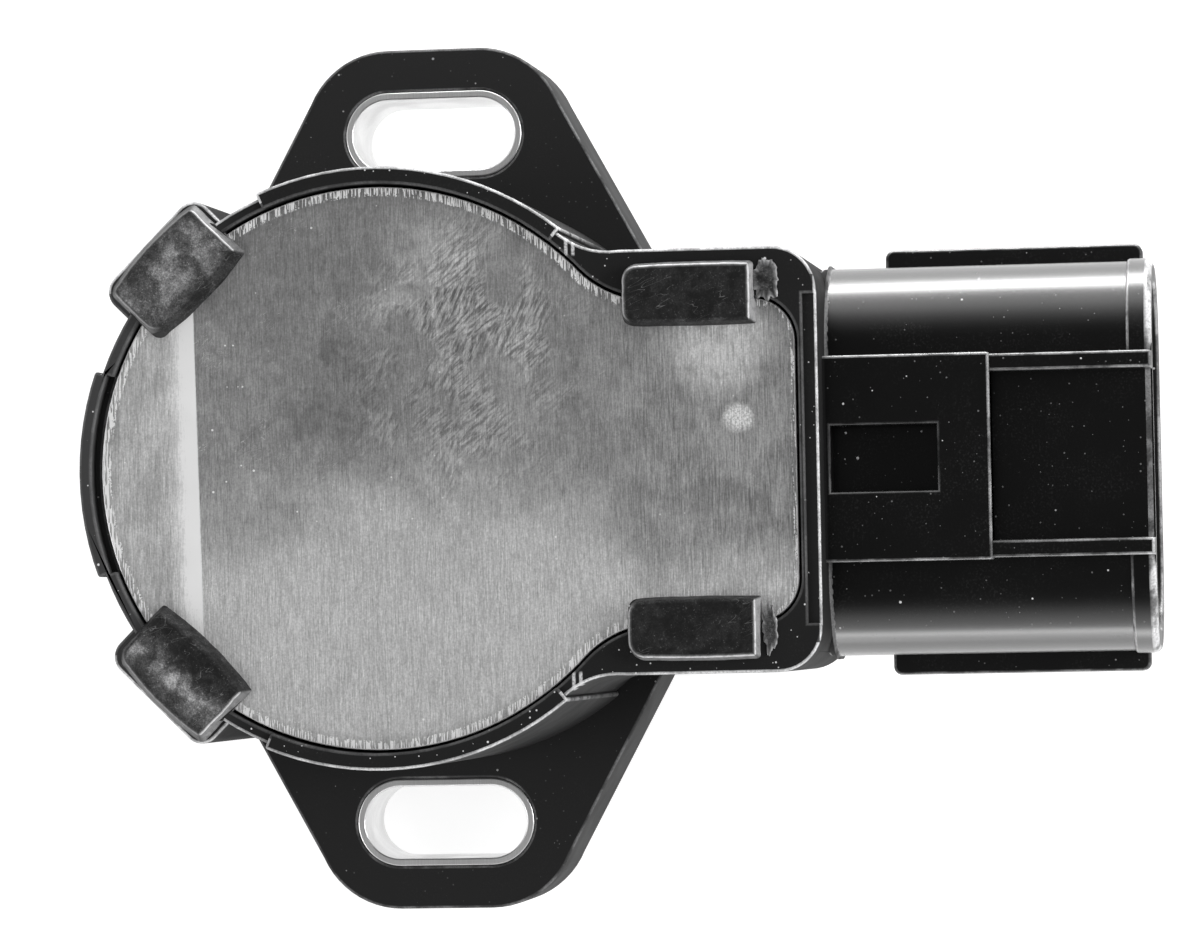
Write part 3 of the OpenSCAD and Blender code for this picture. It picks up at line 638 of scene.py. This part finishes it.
def rounded_copy(node, name, radius, tabs=False, lip_radius=0.0, rim_width=0.0):
    """A copy of a CAD node's form with its outward edges rounded. The corner value edge marks the
    rounded edges. Where rim_width is given, the corner value rim runs from 1 at the outline of the
    top to 0 that far inside it."""
    mesh = bmesh.new()
    mesh.from_mesh(NODES[node].data)
    bmesh.ops.remove_doubles(mesh, verts=mesh.verts, dist=0.03 * MM)
    bmesh.ops.dissolve_limit(mesh, angle_limit=math.radians(1.0), use_dissolve_boundaries=False,
        verts=mesh.verts, edges=mesh.edges, delimit=set())
    if tabs:
        tuck_tabs(mesh)
    rounded = set()
    if lip_radius:
        made = bmesh.ops.bevel(mesh, geom=[e for e in outward_edges(mesh) if at_mouth(e)], offset=lip_radius,
            offset_type="OFFSET", segments=4, profile=0.5, affect="EDGES", clamp_overlap=True, material=-1)
        rounded.update(made["faces"])
    sharp = [e for e in outward_edges(mesh) if not any(f in rounded for f in e.link_faces)
        and not (tabs and tab_at((e.verts[0].co + e.verts[1].co) / 2))]
    made = bmesh.ops.bevel(mesh, geom=sharp, offset=radius, offset_type="OFFSET", segments=2, profile=0.5,
        affect="EDGES", clamp_overlap=False, miter_outer="SHARP", material=-1)
    rounded = {f for f in rounded if f.is_valid} | set(made["faces"])
    ring = set()
    if rim_width:
        top = max((f for f in mesh.faces if f.normal.z > 0.99), key=lambda f: f.calc_area())
        made = bmesh.ops.inset_region(mesh, faces=[top], thickness=rim_width, use_even_offset=True)
        ring = set(made["faces"])
    edge_values, rim_values = [], []
    for face in mesh.faces:
        for corner in face.loops:
            linked = corner.vert.link_faces
            outer = any(f in rounded for f in linked)
            edge_values.append(0.0 if face not in rounded else 1.0 if all(f in rounded for f in linked) else 0.4)
            rim_values.append(1.0 if face in rounded or (face in ring and outer) else 0.0)
    piece = finish_piece(name, mesh)
    piece.data.attributes.new("edge", "FLOAT", "CORNER").data.foreach_set("value", edge_values)
    piece.data.attributes.new("rim", "FLOAT", "CORNER").data.foreach_set("value", rim_values)
    return piece


def finish_piece(name, mesh):
    """An object from a mesh, smooth but for its sharp edges, with its large faces kept flat."""
    normals = corner_normals(mesh)
    piece = smooth_piece(name, mesh)
    piece.data.set_sharp_from_angle(angle=SHARP)
    piece.data.normals_split_custom_set(normals)
    return piece


def rounded_outline(box, radii, bulge, arc_steps=9, side_steps=26):
    """Points of a rounded rectangle, counterclockwise from its (x1, y1) corner, each with its
    outward direction. The two sides along y bulge outward by a given depth."""
    x0, x1, y0, y1 = box
    arcs = []
    for (sx, sy, start), radius in zip(((1, 1, 0), (-1, 1, 90), (-1, -1, 180), (1, -1, 270)), radii):
        centre = Vector(((x1 if sx > 0 else x0) - sx * radius, (y1 if sy > 0 else y0) - sy * radius))
        turns = [math.radians(start + 90 * k / arc_steps) for k in range(arc_steps + 1)]
        arcs.append([(centre + radius * Vector((math.cos(t), math.sin(t))), Vector((math.cos(t), math.sin(t))))
            for t in turns])
    points = []
    for index, arc in enumerate(arcs):
        after = arcs[(index + 1) % 4][0]
        points.extend(arc)
        for k in range(1, side_steps):
            share = k / side_steps
            out = bulge * (1 - (2 * share - 1) ** 2) * abs(after[1].x)
            points.append((arc[-1][0].lerp(after[0], share) + after[1] * out, after[1]))
    return points


def skin_rings(mesh, rings):
    """Quads between rings of points, each ring with as many points as the one before."""
    verts = [[mesh.verts.new(point) for point in ring] for ring in rings]
    count = len(rings[0])
    for low, high in zip(verts, verts[1:]):
        for k in range(count):
            n = (k + 1) % count
            mesh.faces.new((low[k], low[n], high[n], high[k]))
    return verts


def staked_tab(name, turn, box, runs, radii, bulge, dome, grain, seed, bright, pale):
    """A tab that was pressed down hot: sloping ends, rounded corners, a slightly domed top and a
    granular skin. The mesh value edge marks the painted highlights on the slopes toward bright, and whitened the
    pale band."""
    x0, x1, y0, y1 = (value * MM for value in box)
    grow = 0.05 * MM
    bottom = (x0 - grow, x1 + grow, y0 - grow, y1 + grow)
    top = (x0 + runs[0] * MM, x1 - runs[1] * MM, y0 + runs[2] * MM, y1 - runs[3] * MM)
    outer = rounded_outline(bottom, [r * MM for r in radii], bulge * MM)
    inner = rounded_outline(top, [max(r - 0.15, 0.12) * MM for r in radii], bulge * MM)
    brow = 0.13 * MM
    shoulder = TAB_TOP - dome * MM
    low, high = PLATE_TOP - 0.04 * MM, shoulder - brow
    half = (top[1] - top[0]) / 2
    middle = (top[0] + top[1]) / 2
    rings, edges, pales = [], [], []

    def ragged(point, out, share):
        at = Vector((point.x, point.y, 0)) / MM + Vector((seed * 7.3, seed * 3.1, seed))
        coarse = noise.noise(at / 1.3) * 0.6 + noise.noise(at / 0.45) * 0.4
        return point + Vector((out.x, out.y, 0)) * grain * MM * coarse * share

    # How strongly a side's slope or brow carries a painted highlight, by the way it faces
    def toward(out, part):
        return max(0.0, *((out.x * way[0] + out.y * way[1]) ** 3 * way[part] for way in bright))

    for step in range(6):
        share = step / 5
        rings.append([ragged(Vector((*a.lerp(b, share), low + (high - low) * share)), out, 1.0)
            for (a, out), (b, _) in zip(outer, inner)])
        edges.append([toward(out, 2) for _, out in outer])
        pales.append([0.12] * len(outer))
    for step in range(1, 4):
        angle = math.radians(30 * step)
        rings.append([ragged(Vector((*(b - out * brow * (1 - math.cos(angle))), high + brow * math.sin(angle))),
            out, 1.0) for b, out in inner])
        edges.append([toward(out, 3) * (1.0, 0.7, 0.1)[step - 1] for _, out in inner])
        pales.append([0.15] * len(inner))
    steps = 16
    for step in range(1, steps + 1):
        share = 1 - step / steps
        ring, pale_ring = [], []
        for b, out in inner:
            edge_point = b - out * brow
            spine = Vector((middle, max(top[2] + half, min(top[3] - half, b.y))))
            at = spine.lerp(edge_point, share)
            key = Vector((at.x, at.y, 0)) / MM + Vector((seed * 7.3, seed * 3.1, seed))
            pits = 0.5 + 0.5 * noise.noise(key / 0.35) + 0.25 * noise.noise(key / 0.16)
            height = shoulder + dome * MM * (1 - share ** 2) - grain * MM * max(0.0, pits) * 0.9
            ring.append(Vector((at.x, at.y, min(height, TAB_TOP))))
            cross = (at.x - middle) / half
            band = math.exp(-((cross - pale[0] + 0.25 * noise.noise(key / 2.4)) / pale[1]) ** 2)
            pale_ring.append(pale[2] * band * (0.75 + 0.7 * noise.noise(key / 1.1)) + pale[3])
        rings.append(ring)
        edges.append([0.0] * len(inner))
        pales.append(pale_ring)
    mesh = bmesh.new()
    edge_layer = mesh.verts.layers.float.new("edge")
    pale_layer = mesh.verts.layers.float.new("whitened")
    verts = skin_rings(mesh, rings)
    for ring, edge_ring, pale_ring in zip(verts, edges, pales):
        for vert, edge, white in zip(ring, edge_ring, pale_ring):
            vert[edge_layer], vert[pale_layer] = edge, max(0.0, white)
    mesh.faces.new(list(reversed(verts[0])))
    bmesh.ops.remove_doubles(mesh, verts=verts[-1], dist=1e-7)
    bmesh.ops.recalc_face_normals(mesh, faces=mesh.faces[:])
    return smooth_piece(name, mesh, turn)


def melt_flash(name, centre, reach, seed):
    """A thin ragged tongue of plastic that was squeezed out beside a tab."""
    mesh = bmesh.new()
    edge_layer = mesh.verts.layers.float.new("edge")
    pale_layer = mesh.verts.layers.float.new("whitened")
    level = PLATE_TOP + RIM_RISE
    rings = []
    for share, rise in ((1.0, -0.06), (0.96, 0.05), (0.82, 0.1), (0.6, 0.06), (0.3, 0.05), (0.08, 0.06)):
        ring = []
        for k in range(72):
            turn = math.radians(5 * k)
            ragged = 1 + 0.3 * noise.noise(Vector((2.2 * math.cos(turn), 2.2 * math.sin(turn), seed)))
            ragged += 0.16 * noise.noise(Vector((6 * math.cos(turn), 6 * math.sin(turn), seed)))
            ring.append(Vector((centre[0] * MM + reach[0] * MM * ragged * share * math.cos(turn),
                centre[1] * MM + reach[1] * MM * ragged * share * math.sin(turn), level + rise * MM)))
        rings.append(ring)
    verts = skin_rings(mesh, rings)
    # Painted highlights along the tongue's brow, broken here and there
    for ring, edge in zip(verts, (0.5, 0.8, 0.35, 0.0, 0.0, 0.0)):
        for index, vert in enumerate(ring):
            broken = 0.5 + 0.9 * noise.noise(Vector((index * 0.4, seed, 0.0)))
            vert[edge_layer], vert[pale_layer] = edge * max(0.0, min(1.0, broken)), 0.25
    mesh.faces.new(list(reversed(verts[0])))
    mesh.faces.new(verts[-1])
    return smooth_piece(name, mesh)


def connector_fillet(name):
    """The hollow fillet between the neck's end wall and the connector shroud, with a painted highlight along the
    hollow.
    """
    size = 0.2
    angles = [math.radians(15 * k) for k in range(7)]
    hollow = [(size * (1 - math.sin(a)), size * (1 - math.cos(a))) for a in angles]
    profile = [(-0.2, -0.05), (size, -0.05)] + hollow + [(-0.2, size)]
    rings = []
    for grow, ahead in profile:
        outline = rounded_outline((-SHROUD_HALF[0] - grow * MM, SHROUD_HALF[0] + grow * MM,
            -SHROUD_HALF[1] - grow * MM, SHROUD_HALF[1] + grow * MM), [SHROUD_CORNER + grow * MM] * 4, 0.0, 12, 2)
        rings.append([Vector((at.x, -NECK_END - ahead * MM, SHROUD_Z + at.y)) for at, _ in outline])
    mesh = bmesh.new()
    edge_layer = mesh.verts.layers.float.new("edge")
    verts = skin_rings(mesh, rings)
    # The hollow's rings carry a painted highlight
    for index, ring in enumerate(verts):
        for vert in ring:
            vert[edge_layer] = 0.35 if 2 <= index <= 8 else 0.0
    count = len(rings[0])
    for k in range(count):
        n = (k + 1) % count
        mesh.faces.new((verts[-1][k], verts[-1][n], verts[0][n], verts[0][k]))
    bmesh.ops.recalc_face_normals(mesh, faces=mesh.faces[:])
    return finish_piece(name, mesh)


def dress(piece, material):
    piece.data.materials.clear()
    piece.data.materials.append(material)


def fit(piece, material, slot, *nodes):
    """A finished piece of the moulding or cover, fixed to the sensor's body."""
    dress(piece, material)
    if nodes:
        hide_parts(*nodes)
    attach(piece, "sensor")


# ---- Settings ------------------------------------------------------------------------------

class MouldingSettings(PropertyGroup):
    black: FloatVectorProperty(name="Black", description="Colour of the black plastic", subtype="COLOR",
        size=3, min=0, max=1, default=(0.0045, 0.0045, 0.0048))
    matt_roughness: FloatProperty(name="Body roughness", description="Roughness of the body and ears",
        min=0.1, max=1, default=0.62)
    gloss_roughness: FloatProperty(name="Connector roughness", description="Roughness of the connector",
        min=0.05, max=1, default=0.34)
    edge_radius: FloatProperty(name="Edge radius", description="Rounding of the moulding's outward edges",
        subtype="DISTANCE", min=0.05 * MM, max=0.4 * MM, default=0.17 * MM, precision=5)
    lip_radius: FloatProperty(name="Mouth radius", description="Rounding of the connector's mouth",
        subtype="DISTANCE", min=0.1 * MM, max=0.5 * MM, default=0.42 * MM, precision=5)


class CoverSettings(PropertyGroup):
    metal: FloatVectorProperty(name="Metal", description="Colour of the cover's aluminium", subtype="COLOR",
        size=3, min=0, max=1, default=(0.97, 0.97, 0.97))
    metallic: FloatProperty(name="Metallic", description="How far the sheet shines as metal and not as dull oxide",
        min=0, max=1, default=0.45)
    roughness: FloatProperty(name="Roughness", description="Roughness of the sheet", min=0.1, max=1, default=0.38)
    edge_radius: FloatProperty(name="Edge radius", description="Rounding of the sheared edge",
        subtype="DISTANCE", min=0.02 * MM, max=0.2 * MM, default=0.08 * MM, precision=5)
    teeth: FloatProperty(name="Teeth", description="How far the shear marks reach in from the edge",
        subtype="DISTANCE", min=0.2 * MM, max=1.5 * MM, default=0.85 * MM, precision=5)


class SleeveSettings(PropertyGroup):
    steel: FloatVectorProperty(name="Steel", description="Colour of the slot sleeves", subtype="COLOR",
        size=3, min=0, max=1, default=(0.93, 0.93, 0.93))


class StageSettings(PropertyGroup):
    camera_distance: FloatProperty(name="Camera distance", description="From the camera to the cover",
        subtype="DISTANCE", min=0.1, max=1.0, default=0.3)
    backdrop: FloatVectorProperty(name="Backdrop", description="Colour of floor and backdrop", subtype="COLOR",
        size=3, min=0, max=1, default=(1.0, 1.0, 1.0))


# ---- Operators -----------------------------------------------------------------------------

class SENSOR_OT_moulding(Operator):
    """Make the black moulding, its connector fillet, the melted tabs and what was squeezed out of them"""
    bl_idname = "sensor.moulding"
    bl_label = "Moulding"

    def execute(self, context):
        settings = context.scene.sensor_moulding
        plastic = black_moulding(settings)
        skin = melted_plastic(settings)
        piece = rounded_copy("housing", "housing_moulding", settings.edge_radius, tabs=True,
            lip_radius=settings.lip_radius)
        fit(piece, plastic, "black_plastic", "housing")
        fit(connector_fillet("connector_fillet"), plastic, "black_plastic")
        for name, shape in TABS.items():
            fit(staked_tab(name, **shape), skin, "black_plastic")
        fit(melt_flash("melt_flash_upper", (10.2, -22.55), (1.2, 0.75), 5), skin, "black_plastic")
        fit(melt_flash("melt_flash_lower", (-9.6, -22.4), (1.4, 0.45), 6), skin, "black_plastic")
        return {"FINISHED"}


class SENSOR_OT_cover(Operator):
    """Make the aluminium cover plate"""
    bl_idname = "sensor.cover"
    bl_label = "Cover"

    def execute(self, context):
        settings = context.scene.sensor_cover
        piece = rounded_copy("cover_plate", "cover_sheet", settings.edge_radius, rim_width=settings.teeth)
        fit(piece, rolled_aluminium(settings), "cover_aluminium", "cover_plate")
        return {"FINISHED"}


class SENSOR_OT_sleeves(Operator):
    """Make the steel sleeves of the two slots"""
    bl_idname = "sensor.sleeves"
    bl_label = "Slot sleeves"

    def execute(self, context):
        steel = plain_metal("sleeve steel", tuple(context.scene.sensor_sleeves.steel), 0.28, 2.0, 3.0)
        for node, name in (("slot_sleeve_upper", "sleeve_upper"), ("slot_sleeve_lower", "sleeve_lower")):
            fit(rounded_copy(node, name, 0.1 * MM), steel, "sleeve_steel", node)
        return {"FINISHED"}


class SENSOR_OT_inside(Operator):
    """Finish the terminals, board, rotor and the other inner pieces"""
    bl_idname = "sensor.inside"
    bl_label = "Inner pieces"

    def execute(self, context):
        brass = plain_metal("tinned brass", (0.72, 0.69, 0.6), 0.24, 1.5, 1.2)
        bronze = plain_metal("contact bronze", (0.78, 0.6, 0.33), 0.22, 1.2, 0.9)
        spring = plain_metal("spring steel", (0.5, 0.51, 0.52), 0.3, 2.5, 1.5)
        solder = plain_metal("solder", (0.72, 0.73, 0.74), 0.2, 0.6, 0.5)
        silver = plain_metal("silver ink", (0.7, 0.71, 0.73), 0.4, 0.8, 0.8)
        carbon = plain_surface("carbon ink", (0.02, 0.02, 0.024), 0.5, 0.1, 0.4)
        laminate = plain_surface("board laminate", (0.78, 0.74, 0.64), 0.45, 0.3, 0.25)
        rubber = plain_surface("seal rubber", (0.025, 0.025, 0.028), 0.6, 0.2, 0.4)
        rotor = plain_surface("rotor plastic", (0.05, 0.036, 0.028), 0.4, 0.25, 0.4)
        washer = plain_surface("washer plastic", (0.8, 0.77, 0.68), 0.35, 0.3, 0.2)
        finish = {"terminal_1": brass, "terminal_2": brass, "terminal_3": brass, "terminal_4": brass,
            "signal_wiper": bronze, "idle_wiper": bronze, "idle_track": bronze, "return_spring": spring,
            "drive_clip": spring, "solder_joints": solder, "collector_track": silver, "resistor_track": carbon,
            "track_board": laminate, "rotor_seal": rubber, "cover_gasket": rubber, "rotor": rotor,
            "thrust_washer": washer}
        for node, material in finish.items():
            dress(NODES[node], material)
        return {"FINISHED"}


class SENSOR_OT_stage(Operator):
    """Make the floor, the light and the camera"""
    bl_idname = "sensor.stage"
    bl_label = "Stage"

    def execute(self, context):
        settings = context.scene.sensor_stage
        make_floor(settings)
        make_light()
        make_camera(settings)
        return {"FINISHED"}


def make_floor(settings):
    """A white floor that keeps the object's shadow. Camera, glossy and transmitted rays see it near
    white, and from below it is clear."""
    mesh = bpy.data.meshes.new("floor")
    reach = 3.0
    level = FLOOR_Z - 0.02 * MM
    corners = [(-reach, -reach, level), (reach, -reach, level), (reach, reach, level), (-reach, reach, level)]
    mesh.from_pydata(corners, [], [(0, 1, 2, 3)])
    floor = place_in_scene("floor", mesh)
    made = bpy.data.materials.new("floor")
    made.use_nodes = True
    tree = made.node_tree
    tree.nodes.remove(tree.nodes["Principled BSDF"])
    out = tree.nodes["Material Output"]
    colour = (*settings.backdrop, 1.0)
    rays = add(tree, "ShaderNodeLightPath")
    camera, glossy, through = (rays.outputs[f"Is {kind} Ray"] for kind in ("Camera", "Glossy", "Transmission"))
    seen = maths("MAXIMUM", maths("MAXIMUM", camera, glossy), through)
    dull = add(tree, "ShaderNodeBsdfDiffuse", {"Color": (0.5, 0.5, 0.5, 1.0)})
    glow = add(tree, "ShaderNodeEmission", {"Color": colour})
    tree.links.new(maths("MULTIPLY", seen, 0.8), glow.inputs["Strength"])
    both = add(tree, "ShaderNodeAddShader", {0: dull.outputs[0], 1: glow.outputs[0]})
    backfacing = add(tree, "ShaderNodeNewGeometry").outputs["Backfacing"]
    clear = add(tree, "ShaderNodeBsdfTransparent")
    one_sided = add(tree, "ShaderNodeMixShader", {0: backfacing, 1: both.outputs[0], 2: clear.outputs[0]})
    tree.links.new(one_sided.outputs[0], out.inputs["Surface"])
    mesh.materials.append(made)


def make_light():
    """A soft studio: a world that is bright near the horizon and dimmer overhead, two lamps, and a low
    strip on each side whose reflection runs along the connector's rounded sides."""
    world = bpy.data.worlds.new("studio")
    bpy.context.scene.world = world
    world.use_nodes = True
    tree = world.node_tree
    direction = add(tree, "ShaderNodeTexCoord").outputs["Generated"]
    height = add(tree, "ShaderNodeSeparateXYZ", {"Vector": direction}).outputs["Z"]
    tree.nodes["Background"].inputs["Color"].default_value = (1.0, 1.0, 1.0, 1.0)
    rays = add(tree, "ShaderNodeLightPath")
    strength = maths("MAXIMUM", ramp(height, 0.35, 0.8, 1.2, 0.3), rays.outputs["Is Camera Ray"])
    tree.links.new(strength, tree.nodes["Background"].inputs["Strength"])
    for name, (at, aim, size, power) in LAMPS.items():
        lamp = bpy.data.lights.new(name, "AREA")
        lamp.shape = "RECTANGLE"
        lamp.size, lamp.size_y = size
        lamp.energy = power
        holder = place_in_scene(name, lamp)
        holder.location = at
        holder.rotation_euler = (Vector(aim) - Vector(at)).to_track_quat("-Z", "Y").to_euler()
        holder.visible_camera = False


def make_camera(settings):
    """The photograph's viewpoint: nearly square over the cover, leaning toward the connector's side.
    View axes are right = -Y, up = +X and toward the camera = +Z of the frame."""
    lean, tilt, roll = (math.radians(value) for value in VIEW_ANGLES)
    turn_lean = Matrix(((math.cos(lean), 0, -math.sin(lean)), (0, 1, 0), (math.sin(lean), 0, math.cos(lean))))
    turn_tilt = Matrix(((1, 0, 0), (0, math.cos(tilt), math.sin(tilt)), (0, -math.sin(tilt), math.cos(tilt))))
    turn_roll = Matrix(((math.cos(roll), math.sin(roll), 0), (-math.sin(roll), math.cos(roll), 0), (0, 0, 1)))
    to_view = Matrix(((0, -1, 0), (1, 0, 0), (0, 0, 1)))
    turn = turn_roll @ turn_tilt @ turn_lean
    whole = turn @ to_view
    place = whole.transposed() @ (Vector((0, 0, settings.camera_distance)) - Vector((*VIEW_SHIFT, 0))
        + turn @ Vector((0, 0, PLATE_TOP)))
    data = bpy.data.cameras.new("photo_camera")
    data.sensor_width = SENSOR_WIDTH
    data.lens = SENSOR_WIDTH * FOCAL_WIDTHS * settings.camera_distance / FITTED_DISTANCE
    data.clip_start = 0.01
    data.clip_end = 20.0
    camera = place_in_scene("photo_camera", data)
    camera.matrix_world = Matrix.Translation(place) @ whole.transposed().to_4x4()
    bpy.context.scene.camera = camera
    bpy.context.scene.view_settings.view_transform = "Standard"


class SENSOR_PT_panel(Panel):
    """Lists the sensor's groups of pieces and their settings"""
    bl_label = "Throttle position sensor"
    bl_idname = "SENSOR_PT_panel"
    bl_space_type = "VIEW_3D"
    bl_region_type = "UI"
    bl_category = "Sensor"

    def draw(self, context):
        scene = context.scene
        for group, operator, names in (
            (scene.sensor_moulding, "sensor.moulding", ("black", "matt_roughness", "gloss_roughness", "edge_radius",
                "lip_radius")),
            (scene.sensor_cover, "sensor.cover", ("metal", "metallic", "roughness", "edge_radius", "teeth")),
            (scene.sensor_sleeves, "sensor.sleeves", ("steel",)),
            (None, "sensor.inside", ()),
            (scene.sensor_stage, "sensor.stage", ("camera_distance", "backdrop")),
        ):
            box = self.layout.box()
            box.operator(operator)
            for name in names:
                box.prop(group, name)


CLASSES = (MouldingSettings, CoverSettings, SleeveSettings, StageSettings, SENSOR_OT_moulding, SENSOR_OT_cover,
    SENSOR_OT_sleeves, SENSOR_OT_inside, SENSOR_OT_stage, SENSOR_PT_panel)


def register():
    for cls in CLASSES:
        bpy.utils.register_class(cls)
    bpy.types.Scene.sensor_moulding = PointerProperty(type=MouldingSettings)
    bpy.types.Scene.sensor_cover = PointerProperty(type=CoverSettings)
    bpy.types.Scene.sensor_sleeves = PointerProperty(type=SleeveSettings)
    bpy.types.Scene.sensor_stage = PointerProperty(type=StageSettings)


def unregister():
    for name in ("sensor_moulding", "sensor_cover", "sensor_sleeves", "sensor_stage"):
        delattr(bpy.types.Scene, name)
    for cls in reversed(CLASSES):
        bpy.utils.unregister_class(cls)


def main():
    """Makes every piece and the stage."""
    register()
    make_shared_effects()
    bpy.ops.sensor.stage()
    bpy.ops.sensor.moulding()
    bpy.ops.sensor.cover()
    bpy.ops.sensor.sleeves()
    bpy.ops.sensor.inside()


if __name__ == "__main__":
    main()
